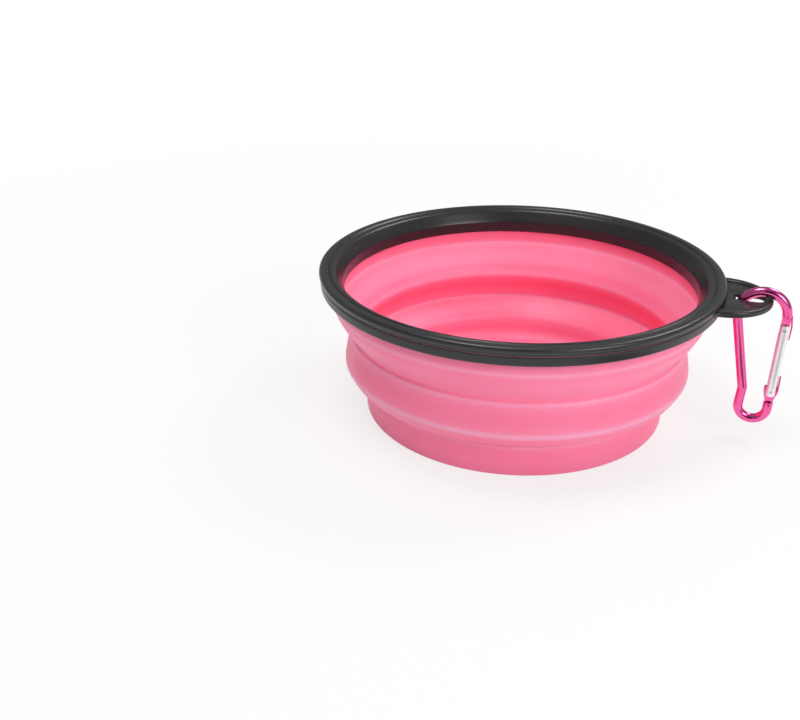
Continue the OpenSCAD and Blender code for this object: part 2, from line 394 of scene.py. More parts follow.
@dataclass(frozen=True)
class RimPlastic(Finish):
    """Satin black moulded plastic, rubbed a little paler along its top edges."""

    rubbed: Rgb = (0.042, 0.043, 0.047)
    edge_r: float = 0.0641
    edge_z: float = 0.0494

    def detail(self, graph: Graph) -> dict[str, Any]:
        """Fine moulded grain, handling marks, rubbed edges."""
        place = graph.object_place()
        x, y, z = graph.split(place)
        radius = (x * x + y * y) ** 0.5
        rubbing = radius.near(self.edge_r, 0.0016) * z.near(self.edge_z, 0.0012)
        patches = graph.noise(place, 38.0, 3.0)
        grain = graph.noise(place, 3000.0, 2.0, 0.6)
        scuffs = graph.noise(graph.stretch(place, (1.0, 1.0, 6.0)), 420.0, 3.0, 0.7)
        worn = (rubbing * (scuffs * 1.6 - 0.35)).clamped()
        return {
            "Base Color": graph.blend((worn * 0.7 + (patches - 0.45) * 0.3).clamped(), self.colour, self.rubbed),
            "Roughness": (self.roughness + 0.14 * (patches - 0.5) + 0.1 * (scuffs - 0.5)).clamped(),
            "Normal": graph.bump(grain * 0.6 + scuffs * 0.4, 0.00004, 0.5),
        }


@dataclass(frozen=True)
class Anodised(Finish):
    """Dyed bright metal with drawing lines along the rod and fine handling scratches."""

    dark: Rgb = (0.7, 0.05, 0.26)

    def detail(self, graph: Graph) -> dict[str, Any]:
        """Uneven dye, drawing lines, small scratches."""
        place = graph.object_place()
        dye = graph.noise(place, 130.0, 3.0)
        lines = graph.noise(graph.stretch(place, (2200.0, 2200.0, 90.0), (0.0, 4.0, 0.0)), 1.0, 2.0, 0.6)
        scratches = graph.noise(graph.stretch(place, (500.0, 900.0, 2600.0), (20.0, 35.0, 0.0)), 1.0, 2.0, 0.7)
        return {
            "Base Color": graph.blend(((dye - 0.4) * 0.7).clamped(), self.colour, self.dark),
            "Roughness": (self.roughness + 0.1 * (lines - 0.5) + 0.08 * (scratches - 0.5)).clamped(),
            "Normal": graph.bump(lines * 0.6 + scratches * 0.4, 0.00001, 0.4),
        }


@dataclass(frozen=True)
class BareMetal(Finish):
    """Undyed metal, turned or ground, with cloudy polish."""

    tarnish: Rgb = (0.5, 0.5, 0.52)
    line_scale: Triple = (300.0, 2400.0, 2400.0)

    def detail(self, graph: Graph) -> dict[str, Any]:
        """Cloudy tarnish, tool lines."""
        place = graph.object_place()
        clouds = graph.noise(place, 260.0, 3.0)
        lines = graph.noise(graph.stretch(place, self.line_scale), 1.0, 2.0, 0.6)
        return {
            "Base Color": graph.blend(((clouds - 0.4) * 0.7).clamped(), self.colour, self.tarnish),
            "Roughness": (self.roughness + 0.14 * (clouds - 0.5) + 0.1 * (lines - 0.5)).clamped(),
            "Normal": graph.bump(lines, 0.000012, 0.4),
        }


@dataclass(frozen=True)
class Corner:
    """A corner of a section: distance from the axis, height, and how far its rounding reaches along each side."""

    r: float
    z: float
    reach: float = 0.0
    steps: int = 4

    def moved(self, r: float, z: float) -> "Corner":
        """The same corner, farther out and higher."""
        return Corner(self.r + r, self.z + z, self.reach, self.steps)


@dataclass(frozen=True)
class PaintedLightRing:
    """A ring of the soft wall with painted light: a painted highlight, lighter than its surroundings, or painted
    shade, darker, with a negative weight.
    """

    r: float
    z: float
    spread: float
    weight: float = 1.0


def turned(angle: float, axis: str) -> Matrix:
    """A rotation by degrees about one axis."""
    return Matrix.Rotation(math.radians(angle), 4, axis)


def towards(angle: float) -> Vector:
    """The direction in the XY plane at an angle in degrees from +X."""
    return Vector((math.cos(math.radians(angle)), math.sin(math.radians(angle)), 0.0))


def add_object(name: str, data: Any) -> bpy.types.Object:
    """Adds an object to the scene, at the origin."""
    made = bpy.data.objects.new(name, data)
    bpy.context.scene.collection.objects.link(made)
    return made


def spin(
    bm: BMesh, geom: Sequence[Any], centre: Sequence[float], angle: float, steps: int, merge: bool = False
) -> list[Any]:
    """Spins geometry about an upright axis.

    Args:
        bm: the mesh that the geometry is part of.
        geom: vertices and edges.
        centre: where the axis stands.
        angle: degrees turned.
        steps: segments of the spin.
        merge: whether a full turn closes on its start.

    Returns:
        The last vertices and edges of the spin.
    """
    return bmesh.ops.spin(
        bm,
        geom=list(geom),
        cent=centre,
        axis=(0.0, 0.0, 1.0),
        dvec=(0.0, 0.0, 0.0),
        angle=math.radians(angle),
        steps=steps,
        use_merge=merge,
        use_normal_flip=False,
        use_duplicate=False,
    )["geom_last"]


class Draft:
    """A mesh on the bench, in millimetres until it becomes a piece."""

    def __init__(self) -> None:
        """Starts an empty mesh."""
        self.bm: BMesh = bmesh.new()

    def section(self, corners: Sequence[Corner], closed: bool = True) -> None:
        """Lays out a section as a wire in the XZ plane and rounds its corners.

        Args:
            corners: the section's corners in order.
            closed: whether the last corner joins the first.
        """
        verts = [self.bm.verts.new((corner.r, 0.0, corner.z)) for corner in corners]
        followers = verts[1:] + (verts[:1] if closed else [])
        for here, there in zip(verts, followers):
            self.bm.edges.new((here, there))
        for vert, corner in zip(verts, corners):
            if corner.reach > 0.0:
                self.bevel([vert], corner.reach, corner.steps, "VERTICES", False)

    def bevel(self, geom: Sequence[Any], reach: float, steps: int, affect: str, clamp: bool) -> None:
        """Bevels corners or edges.

        Args:
            geom: the vertices or edges.
            reach: how far the bevel reaches.
            steps: its segments.
            affect: VERTICES or EDGES.
            clamp: whether neighbouring bevels stop where they meet.
        """
        bmesh.ops.bevel(
            self.bm,
            geom=list(geom),
            offset=reach,
            offset_type="OFFSET",
            segments=steps,
            profile=0.5,
            affect=affect,
            clamp_overlap=clamp,
            material=-1,
        )

    def refine(self, longest: float) -> None:
        """Cuts every wire edge into steps no longer than a length."""
        wanted: dict[int, list[BMEdge]] = {}
        for edge in self.bm.edges:
            cuts = math.ceil(edge.calc_length() / longest) - 1
            if edge.is_wire and cuts > 0:
                wanted.setdefault(cuts, []).append(edge)
        for cuts, edges in wanted.items():
            bmesh.ops.subdivide_edges(self.bm, edges=edges, cuts=cuts)

    def turn(self, steps: int, angle: float = 360.0) -> None:
        """Spins every wire about the Z axis.

        Args:
            steps: segments of the spin.
            angle: degrees turned; 360 closes the ring.
        """
        wires = [edge for edge in self.bm.edges if edge.is_wire]
        verts = list({vert for edge in wires for vert in edge.verts})
        spin(self.bm, verts + wires, (0.0, 0.0, 0.0), angle, steps, abs(angle) >= 360.0)
        bmesh.ops.remove_doubles(self.bm, verts=self.bm.verts[:], dist=WELD_MM)

    def cap(self) -> None:
        """Closes every open end."""
        edges = [edge for edge in self.bm.edges if edge.is_boundary]
        bmesh.ops.holes_fill(self.bm, edges=edges, sides=0)

    def soften(self, width: float, steps: int = 2, sharper: float = 40.0) -> None:
        """Bevels the edges that turn sharply.

        Args:
            width: how far the bevel reaches.
            steps: its segments.
            sharper: least turn in degrees.
        """
        limit = math.radians(sharper)
        edges = [edge for edge in self.bm.edges if len(edge.link_faces) == 2 and edge.calc_face_angle(0.0) > limit]
        self.bevel(edges, width, steps, "EDGES", True)

    def lift(self, faces: Sequence[BMFace], height: float) -> None:
        """Extrudes faces along Z by a height."""
        made = bmesh.ops.extrude_face_region(self.bm, geom=list(faces))["geom"]
        lifted = [part for part in made if isinstance(part, BMVert)]
        bmesh.ops.translate(self.bm, vec=(0.0, 0.0, height), verts=lifted)
        self.bm.normal_update()

    def slab(self, low: float, thick: float) -> None:
        """Makes a slab of flat faces, from a height upwards."""
        self.lift(self.bm.faces[:], thick)
        self.place(Matrix.Translation((0.0, 0.0, low)))
        bmesh.ops.recalc_face_normals(self.bm, faces=self.bm.faces[:])

    def place(self, matrix: Matrix) -> None:
        """Moves the whole mesh by a matrix in millimetres."""
        bmesh.ops.transform(self.bm, matrix=matrix, verts=self.bm.verts[:])

    def piece(self, name: str, finish: bpy.types.Material, painted_light_rings: Sequence[PaintedLightRing] = ()) -> bpy.types.Object:
        """Turns the draft into a finished piece at the origin.

        Args:
            name: the piece's name.
            finish: its material.
            painted_light_rings: rings of painted highlight and painted shade that are marked for the finish.

        Returns:
            The new object.
        """
        bmesh.ops.recalc_face_normals(self.bm, faces=self.bm.faces[:])
        marks = self.bm.verts.layers.float.new(Mark.PAINTED_LIGHT.value)
        moulded = self.bm.verts.layers.float_vector.new(Mark.MOULDED.value)
        # each vertex gets the summed weights of painted highlight and painted shade from the rings
        for vert in self.bm.verts:
            radius = math.hypot(vert.co.x, vert.co.y)
            vert[marks] = sum(
                crest.weight * max(0.0, 1.0 - math.hypot(radius - crest.r, vert.co.z - crest.z) / crest.spread)
                for crest in painted_light_rings
            )
            vert[moulded] = vert.co * MM
        bmesh.ops.scale(self.bm, vec=(MM, MM, MM), verts=self.bm.verts[:])
        mesh = bpy.data.meshes.new(name)
        self.bm.to_mesh(mesh)
        self.bm.free()
        mesh.shade_smooth()
        mesh.set_sharp_from_angle(angle=math.radians(SHARP_TURN))
        mesh.materials.append(finish)
        LOG.info("%s: %d faces", name, len(mesh.polygons))
        return add_object(name, mesh)


class Rod:
    """A round rod drawn along a path in the XY plane of a draft."""

    def __init__(self, draft: Draft, radius: float, start: Vector, heading: float, sides: int = 36) -> None:
        """Sets the rod's first ring.

        Args:
            draft: the mesh it is drawn in.
            radius: of the rod.
            start: middle of the first ring.
            heading: direction in the plane, in degrees from +X.
            sides: of the ring.
        """
        self.bm = draft.bm
        self.heading = heading
        aim = turned(heading, "Z") @ turned(90.0, "Y")
        ring = bmesh.ops.create_circle(
            self.bm, cap_ends=False, radius=radius, segments=sides, matrix=Matrix.Translation(start) @ aim
        )
        self.verts: list[BMVert] = ring["verts"]
        self.edges: list[BMEdge] = list({edge for vert in self.verts for edge in vert.link_edges})

    def bend(self, centre: Vector, angle: float, step: float = 4.0) -> None:
        """Bends the rod about a point of the plane by an angle in degrees."""
        steps = max(2, math.ceil(abs(angle) / step))
        self.take(spin(self.bm, self.verts + self.edges, centre, angle, steps))
        self.heading += angle

    def run(self, length: float, scale: float = 1.0) -> None:
        """Draws the rod straight on, and makes its new ring larger or smaller."""
        self.take(bmesh.ops.extrude_edge_only(self.bm, edges=self.edges)["geom"])
        bmesh.ops.translate(self.bm, vec=towards(self.heading) * length, verts=self.verts)
        middle = sum((vert.co for vert in self.verts), Vector()) / len(self.verts)
        bmesh.ops.scale(self.bm, vec=(scale, scale, scale), space=Matrix.Translation(-middle), verts=self.verts)

    def take(self, made: Sequence[Any]) -> None:
        """Keeps the newest ring."""
        self.verts = [part for part in made if isinstance(part, BMVert)]
        self.edges = [part for part in made if isinstance(part, BMEdge)]


@dataclass
class SoftWall:
    """The pleated silicone cup, as an upper and a lower length that meet at the foot of the middle ring."""

    finish: bpy.types.Material
    steps: int = 192
    wall: float = 2.0
    flange_r: float = 64.3
    flange_top: float = 46.9
    flange_low: float = 46.65
    collar_r: float = 60.05
    collar_z: float = 38.5
    bulge_r: float = 61.2
    bulge_z: float = 39.8
    swell: tuple[Corner, ...] = (
        Corner(-0.1, 2.8, 0.5),
        Corner(0.0, 0.0, 0.9),
        Corner(-0.8, -2.8, 0.8),
        Corner(-2.8, -6.6, 1.2),
    )
    swell_top: float = 3.7
    lower_swell: Corner = Corner(-2.2, -4.3, 0.9)
    bevel_z: float = 45.0
    upper_neck_r: float = 54.3
    upper_neck_z: float = 28.0
    middle_top_r: float = 55.4
    middle_foot_r: float = 57.05
    seam_z: float = 17.4
    lower_neck_r: float = 49.6
    base_h: float = 10.7
    base_r: float = 50.0
    shoulder_h: float = 0.8
    crest_h: float = 2.4
    floor_t: float = 2.0
    floor_round: float = 4.0
    base_round: float = 0.7
    inner_collar_z: float = 36.7
    inner_neck_z: float = 27.4
    inner_foot_z: float = 16.2
    inner_base_z: float = 9.9

    def painted_light_rings(self) -> list[PaintedLightRing]:
        """The rings of painted light on the wall, inside and outside: painted highlights along the folds and painted
        shade in the hollows.
        """
        collar, neck = self.collar_r - self.wall, self.upper_neck_r - self.wall
        foot, low = self.middle_foot_r - self.wall, self.lower_neck_r - self.wall
        # positive weights: painted highlights along the fold tops and on the upward-facing band of the upper fold;
        # negative weights: painted shade on the collar under the rim and in the hollows beside the folds
        return [
            PaintedLightRing((collar + neck) / 2.0 + 0.6, (self.inner_collar_z + self.inner_neck_z) / 2.0, 7.0, 0.22),
            PaintedLightRing(neck + 1.0, self.inner_neck_z - self.crest_h - 3.2, 4.0, -1.0),
            PaintedLightRing(collar, 42.5, 4.0, -0.5),
            PaintedLightRing(self.bulge_r, self.bulge_z - 0.6, 1.1, 0.7),
            PaintedLightRing(collar, self.inner_collar_z, 0.9, 0.9),
            PaintedLightRing(self.middle_top_r, self.upper_neck_z - self.shoulder_h, 1.0, 0.8),
            PaintedLightRing(neck + 0.8, self.inner_neck_z + 1.5, 1.5, -0.5),
            PaintedLightRing(neck, self.inner_neck_z - self.crest_h / 2.0, 1.5, 0.9),
            PaintedLightRing(self.middle_foot_r, self.seam_z, 1.5, 0.9),
            PaintedLightRing(foot, self.inner_foot_z, 0.9, 0.9),
            PaintedLightRing(self.base_r, self.base_h - self.shoulder_h, 1.0, 0.7),
            PaintedLightRing(low + 1.4, self.inner_base_z + 1.2, 1.4, -0.5),
            PaintedLightRing(low, self.inner_base_z - 1.6, 1.6, 0.45),
        ]

    def seam_r(self) -> float:
        """Inner radius of the wall at the seam, on the line from the crest to the inner foot."""
        crest = self.inner_neck_z - self.crest_h
        share = (crest - self.seam_z) / (crest - self.inner_foot_z)
        neck, foot = self.upper_neck_r - self.wall, self.middle_foot_r - self.wall
        return neck + share * (foot - neck)

    def upper(self) -> None:
        """Builds the flange, collar, upper fold and middle ring."""
        inner_collar = self.collar_r - self.wall
        inner_neck = self.upper_neck_r - self.wall
        draft = Draft()
        draft.section(
            [
                Corner(self.flange_r, self.flange_top),
                Corner(self.flange_r, self.flange_low),
                Corner(self.collar_r, self.flange_low),
                Corner(self.collar_r, self.bulge_z + self.swell_top),
                *(corner.moved(self.bulge_r, self.bulge_z) for corner in self.swell),
                Corner(self.upper_neck_r, self.upper_neck_z, 0.45),
                Corner(self.middle_top_r, self.upper_neck_z - self.shoulder_h, 0.5),
                Corner(self.middle_foot_r, self.seam_z + 0.9, 0.7),
                Corner(self.middle_foot_r, self.seam_z),
                Corner(self.seam_r(), self.seam_z),
                Corner(inner_neck, self.inner_neck_z - self.crest_h, 1.0),
                Corner(inner_neck, self.inner_neck_z, 1.0),
                Corner(inner_collar, self.inner_collar_z, 0.6),
                Corner(inner_collar, self.bevel_z),
                Corner(self.collar_r, self.flange_top),
            ]
        )
        draft.refine(1.0)
        draft.turn(self.steps)
        made = draft.piece("soft_wall_upper", self.finish, self.painted_light_rings())
        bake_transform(made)
        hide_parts("wall_collar", "upper_fold", "middle_ring")

    def lower(self) -> None:
        """Builds the lower fold, base cup and floor."""
        inner_foot = self.middle_foot_r - self.wall
        inner_neck = self.lower_neck_r - self.wall
        draft = Draft()
        draft.section(
            [
                Corner(0.0, self.floor_t),
                Corner(inner_neck, self.floor_t, self.floor_round, 7),
                Corner(inner_neck, self.inner_base_z, 0.9),
                Corner(inner_foot, self.inner_foot_z, 0.5),
                Corner(self.seam_r(), self.seam_z),
                Corner(self.middle_foot_r, self.seam_z),
                Corner(self.middle_foot_r, self.seam_z - 0.5, 0.4),
                self.lower_swell.moved(self.middle_foot_r, self.seam_z),
                Corner(self.lower_neck_r, self.base_h, 0.4),
                Corner(self.base_r, self.base_h - self.shoulder_h, 0.35),
                Corner(self.base_r, 0.0, self.base_round, 5),
                Corner(0.0, 0.0),
            ],
            closed=False,
        )
        draft.refine(1.2)
        draft.turn(self.steps)
        made = draft.piece("soft_wall_lower", self.finish, self.painted_light_rings())
        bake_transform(made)
        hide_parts("lower_fold", "base_cup")

    def build(self) -> None:
        """Builds both lengths."""
        self.upper()
        self.lower()


@dataclass
class Rim:
    """The stiff rim: a lipped ring with the hang tab moulded on, and the ring that clamps the soft wall to it."""

    finish: bpy.types.Material
    steps: int = 192
    rim_r: float = 65.0
    top_z: float = 49.5
    flange_z: float = 46.9
    throat_r: float = 57.2
    throat_z: float = 41.25
    throat_wall: float = 0.8
    slope_z: float = 45.0
    slope_top: Pair = (59.6, 48.9)
    bead: Pair = (61.2, 49.32)
    groove: Pair = (61.75, 48.75)
    lip_start: float = 62.3
    lip_dip: float = 0.06
    lip_low: float = 47.95
    undercut: float = 0.42
    undercut_z: float = 47.5
    edge_in: float = 0.3
    flange_drop: float = 1.6
    collar_r: float = 60.05
    clamp_gap: float = 0.05
    clamp_draft: float = 0.1
    clamp_r: float = 64.6
    clamp_top: float = 46.65
    clamp_h: float = 2.95
    tab_x: float = 63.8
    tab_r: float = 15.0
    tab_steps: int = 96
    tab_root: float = 1.0
    border_half: float = 95.0
    border_w: float = 2.4
    border_low: float = 45.5
    border_top: float = 47.6
    border_round: float = 0.8
    web_low: float = 46.05
    web_t: float = 1.0
    slot_w: float = 5.0
    slot_steps: int = 24
    slot_end_x: float = 73.85
    narrow_x: float = 71.5
    narrow_w: float = 3.7
    lobe_x: float = 67.8
    lobe_side: float = 1.1
    lobe_r: float = 0.95
    fillet_at: Pair = (65.364, 17.63)
    fillet_from: Pair = (-2.9, -0.78)
    fillet_turn: float = 71.2
    gusset_corners: tuple[Pair, ...] = ((63.2, 13.9), (61.6, 16.2))

    def ring_section(self) -> list[Corner]:
        """The ring's section: throat, hollow slope, bead and groove, rounded lip, undercut edge."""
        return [
            Corner(self.throat_r, self.throat_z, 0.2, 2),
            Corner(self.throat_r, self.slope_z, 0.45),
            Corner(*self.slope_top, 0.6, 5),
            Corner(*self.bead, 0.3),
            Corner(*self.groove, 0.16, 2),
            Corner(self.lip_start, self.top_z - self.lip_dip, 0.3),
            Corner(self.rim_r, self.top_z, 1.15, 7),
            Corner(self.rim_r, self.lip_low, 0.45),
            Corner(self.rim_r - self.undercut, self.undercut_z, 0.3),
            Corner(self.rim_r - self.edge_in, self.flange_z, 0.14, 2),
            Corner(self.collar_r, self.flange_z),
            Corner(self.throat_r + self.throat_wall, self.flange_z - self.flange_drop),
            Corner(self.throat_r + self.throat_wall, self.throat_z, 0.2, 2),
        ]

    def border(self, draft: Draft) -> None:
        """Adds the tab's rounded border, from one root to the other."""
        inside, low, top = self.tab_r - self.border_w, self.border_low, self.border_top
        places = ((inside, low), (self.tab_r, low), (self.tab_r, top), (inside, top))
        bench = Draft()
        bench.section([Corner(*place, self.border_round, 5) for place in places])
        bench.place(turned(-self.border_half, "Z"))
        bench.turn(self.tab_steps, 2.0 * self.border_half)
        bench.cap()
        bench.place(Matrix.Translation((self.tab_x, 0.0, 0.0)))
        merge(draft, bench)

    def web(self, draft: Draft) -> None:
        """Adds the tab's thin web with its lobed slot."""
        bench = Draft()
        bm = bench.bm
        bmesh.ops.create_circle(
            bm,
            cap_ends=False,
            radius=self.tab_r - self.border_w / 2.0,
            segments=self.tab_steps,
            matrix=Matrix.Translation((self.tab_x, 0.0, 0.0)),
        )
        half, sweep, steps = self.slot_w / 2.0, -self.lobe_sweep(), self.slot_steps
        pen = Pen(bench, (self.slot_end_x, half)).arc((self.slot_end_x, 0.0), -180.0, steps)
        pen.lines([(self.narrow_x, -half), (self.lobe_x + self.lobe_reach(), -self.narrow_w / 2.0)])
        pen.arc((self.lobe_x, -self.lobe_side), sweep, steps).line((self.lobe_x, self.lobe_side - self.lobe_r))
        pen.arc((self.lobe_x, self.lobe_side), sweep, steps).line((self.narrow_x, half)).close()
        bmesh.ops.remove_doubles(bm, verts=bm.verts[:], dist=0.001)
        bmesh.ops.triangle_fill(bm, use_beauty=True, use_dissolve=False, edges=bm.edges[:])
        whole = bm.verts[:] + bm.edges[:] + bm.faces[:]
        bmesh.ops.bisect_plane(
            bm, geom=whole, plane_co=(self.rim_r - self.tab_root, 0.0, 0.0), plane_no=(1.0, 0.0, 0.0), clear_inner=True
        )
        bench.slab(self.web_low, self.web_t)
        bench.soften(0.22)
        merge(draft, bench)

    def lobe_reach(self) -> float:
        """How far each lobe reaches along the slot before the slot's side starts."""
        return math.sqrt(self.lobe_r**2 - (self.narrow_w / 2.0 - self.lobe_side) ** 2)

    def lobe_sweep(self) -> float:
        """Degrees that each lobe's edge turns through, from the slot's side to its blunt end."""
        return 270.0 - math.degrees(math.atan2(self.narrow_w / 2.0 - self.lobe_side, self.lobe_reach()))

    def gussets(self, draft: Draft) -> None:
        """Adds the small curved gusset on each side of the tab's root."""
        (x, y), (back, down) = self.fillet_at, self.fillet_from
        for side in (-1.0, 1.0):
            bench = Draft()
            pen = Pen(bench, (x + back, (y + down) * side)).arc((x, y * side), side * self.fillet_turn, 12)
            pen.lines([(across, out * side) for across, out in self.gusset_corners]).fill()
            bench.slab(self.web_low, self.web_t)
            bench.soften(0.2)
            merge(draft, bench)

    def ring(self) -> None:
        """Builds the rim ring with its tab."""
        draft = Draft()
        draft.section(self.ring_section())
        draft.refine(1.0)
        draft.turn(self.steps)
        self.border(draft)
        self.web(draft)
        self.gussets(draft)
        made = draft.piece("rim_moulding", self.finish)
        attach(made, Body.RIM.value)
        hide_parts("rim_ring")

    def clamp(self) -> None:
        """Builds the retaining ring under the flange."""
        low, inside = self.clamp_top - self.clamp_h, self.collar_r + self.clamp_gap
        draft = Draft()
        draft.section(
            [
                Corner(inside, self.clamp_top),
                Corner(inside, low, 0.25, 3),
                Corner(self.clamp_r - self.clamp_draft, low, 0.7, 5),
                Corner(self.clamp_r, self.clamp_top, 0.16, 2),
            ]
        )
        draft.refine(0.8)
        draft.turn(self.steps)
        made = draft.piece("clamp_ring", self.finish)
        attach(made, Body.RIM.value)
        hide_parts("retaining_ring")

    def build(self) -> None:
        """Builds both rings."""
        self.ring()
        self.clamp()


class Pen:
    """Draws a flat outline in a draft with straight lines and arcs."""

    def __init__(self, draft: Draft, start: Pair) -> None:
        """Puts the pen down at a point."""
        self.bm = draft.bm
        self.first: BMVert = self.bm.verts.new((*start, 0.0))
        self.last: BMVert = self.first

    def line(self, to: Pair) -> "Pen":
        """Draws straight to a point."""
        there = self.bm.verts.new((*to, 0.0))
        self.bm.edges.new((self.last, there))
        self.last = there
        return self

    def lines(self, points: Sequence[Pair]) -> "Pen":
        """Draws straight from point to point."""
        for point in points:
            self.line(point)
        return self

    def arc(self, centre: Pair, angle: float, steps: int) -> "Pen":
        """Draws round a centre by an angle in degrees."""
        made = spin(self.bm, [self.last], (*centre, 0.0), angle, steps)
        self.last = next(part for part in made if isinstance(part, BMVert))
        return self

    def close(self) -> None:
        """Joins the last point to the first."""
        if (self.last.co - self.first.co).length > 0.002:
            self.bm.edges.new((self.last, self.first))

    def fill(self) -> None:
        """Closes the outline and fills it with one face."""
        self.close()
        bmesh.ops.contextual_create(self.bm, geom=self.bm.edges[:])


def merge(draft: Draft, bench: Draft) -> None:
    """Adds one draft's mesh to another and clears it from the bench.

    Args:
        draft: the mesh that grows.
        bench: the mesh that is used up.
    """
    bmesh.ops.recalc_face_normals(bench.bm, faces=bench.bm.faces[:])
    spare = bpy.data.meshes.new("bench")
    bench.bm.to_mesh(spare)
    bench.bm.free()
    draft.bm.from_mesh(spare)
    bpy.data.meshes.remove(spare)


@dataclass
class SnapHook:
    """The snap hook: bent rod, hinged gate, rivet and latch pin, with the spring and plunger inside the gate."""

    rod_finish: bpy.types.Material
    gate_finish: bpy.types.Material
    pin_finish: bpy.types.Material
    rod_r: float = 1.5
    arc_r: float = 7.2
    loop_r: float = 4.4
    loop_drop: float = 31.7
    spine_lean: float = 8.2
    waist_drop: float = 25.4
    waist_bend: float = 4.0
    nose_len: float = 2.4
    hang_tilt: float = 3.2
    hang_at: Pair = (76.059, 42.5356)
    gate_r: float = 1.55
    gate_gap: float = 2.4
    pin_back: float = 1.6
    rivet_r: float = 0.6
    latch_r: float = 0.5
    tongue_t: float = 1.1
    tongue_w: float = 2.6
    slot_gap: float = 0.1
    slot_deeper: float = 0.4
    tongue_root: float = 0.8
    lip_r: float = 0.34
    lip_at: Triple = (1.35, 0.6, 0.0)
    lip_runs: tuple[Triple, ...] = ((-80.0, 3.4, 0.8), (-90.0, 4.6, 0.7))
    edge_side: float = 1.95
    cup_t: float = 1.0
    cup_right: tuple[Pair, ...] = ((-0.2, -0.3), (0.3, 1.2), (0.25, 7.0), (-0.25, 6.9), (-0.3, 3.1))
    cup_left: tuple[Pair, ...] = ((0.2, 3.1), (0.2, 1.2), (-0.2, -0.3))
    cup_root: float = 0.3
    cup_neck: float = 1.5
    gate_lean: float = field(init=False)
    gate_span: float = field(init=False)

    def __post_init__(self) -> None:
        """Works out the gate's lean and span from the two bends."""
        step = self.arc_r - self.loop_r
        self.gate_lean = math.degrees(math.asin(step / self.loop_drop))
        self.gate_span = math.sqrt(self.loop_drop**2 - step**2) - self.nose_len

    def hung(self) -> Matrix:
        """Takes the hook's own plane to where it hangs from the tab."""
        x, z = self.hang_at
        return Matrix.Translation((x, 0.0, z)) @ turned(-self.hang_tilt, "Y") @ turned(90.0, "X")

    def along_gate(self) -> Matrix:
        """Takes the gate's own axes, running down -Y from the hinge end of the rod, to their place."""
        top = self.arc_r * towards(-self.gate_lean)
        return self.hung() @ Matrix.Translation(top) @ turned(-self.gate_lean, "Z")

    def draw_rod(self, draft: Draft) -> None:
        """Draws the rod from its hinge end round to its nose."""
        start = self.arc_r * towards(-self.gate_lean)
        spine_top = self.arc_r * towards(180.0 + self.spine_lean)
        slope = math.tan(math.radians(self.spine_lean))
        waist = Vector((spine_top.x + (self.waist_drop + spine_top.y) * slope, -self.waist_drop, 0.0))
        loop_mid = Vector((0.0, -self.loop_drop, 0.0))
        away = waist - loop_mid
        loop_start = math.degrees(math.atan2(away.y, away.x) + math.acos(self.loop_r / away.length))
        turn = self.spine_lean + 180.0 - loop_start
        cut = self.waist_bend * math.tan(math.radians(turn / 2.0))
        spine_end = waist - cut * towards(self.spine_lean - 90.0)
        waist_mid = spine_end - self.waist_bend * towards(self.spine_lean)
        loop_top = loop_mid + self.loop_r * towards(loop_start)
        rod = Rod(draft, self.rod_r, start, 90.0 - self.gate_lean)
        rod.bend(Vector(), 180.0 + self.spine_lean + self.gate_lean)
        rod.run((spine_end - spine_top).length)
        rod.bend(waist_mid, -turn, 2.0)
        rod.run((loop_top - waist).length - cut)
        rod.bend(loop_mid, 360.0 - self.gate_lean - loop_start)
        rod.run(self.nose_len)
        draft.cap()
        draft.soften(0.4, 3)

    def cup(self) -> Draft:
        """Builds the flat cup that the gate's foot closes into, in the gate's own axes.

        Returns:
            The cup's mesh, a plate that flares from the nose and rises beside the gate.
        """
        foot = self.gate_span - self.gate_gap
        half, root, neck = self.tongue_w / 2.0, -self.gate_span - self.cup_root, -foot - self.cup_neck
        bench = Draft()
        pen = Pen(bench, (-half, root)).lines([(half, root), (half, neck)])
        pen.lines([(self.edge_side + out, up - foot) for out, up in self.cup_right])
        pen.lines([(-self.edge_side - out, up - foot) for out, up in self.cup_left]).line((-half, neck)).fill()
        bench.slab(-self.cup_t / 2.0, self.cup_t)
        bench.soften(0.24, 3)
        return bench

    def hinge_lip(self) -> Draft:
        """Draws the thin lip beside the hinge, in the gate's own axes."""
        bench = Draft()
        side = Rod(bench, self.lip_r, Vector(self.lip_at), self.lip_runs[0][0], 16)
        for heading, length, scale in self.lip_runs:
            side.heading = heading
            side.run(length, scale)
        bench.cap()
        bench.soften(0.08)
        return bench

    def tongue(self, root: float, tip: float) -> Draft:
        """Builds one flat tongue with a round end, in the gate's own axes.

        Args:
            root: depth of its root down the gate.
            tip: depth of its pin.

        Returns:
            The tongue's mesh.
        """
        half = self.tongue_w / 2.0
        way = 1.0 if tip > root else -1.0
        bench = Draft()
        Pen(bench, (-half, -root)).line((-half, -tip)).arc((0.0, -tip), 180.0 * way, 16).line((half, -root)).fill()
        bench.slab(-self.tongue_t / 2.0, self.tongue_t)
        bench.soften(0.1)
        return bench

    def body(self) -> None:
        """Builds the bent rod with a tongue at each end, the cup and the lip."""
        pin = self.gate_gap + self.pin_back
        draft = Draft()
        self.draw_rod(draft)
        draft.place(self.hung())
        upper = self.tongue(-self.tongue_root, pin)
        lower = self.tongue(self.gate_span + self.tongue_root, self.gate_span - pin)
        for bench in (upper, lower, self.cup(), self.hinge_lip()):
            bench.place(self.along_gate())
            merge(draft, bench)
        made = draft.piece("hook_rod", self.rod_finish)
        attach(made, Body.HOOK.value)
        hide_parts("hook_body")

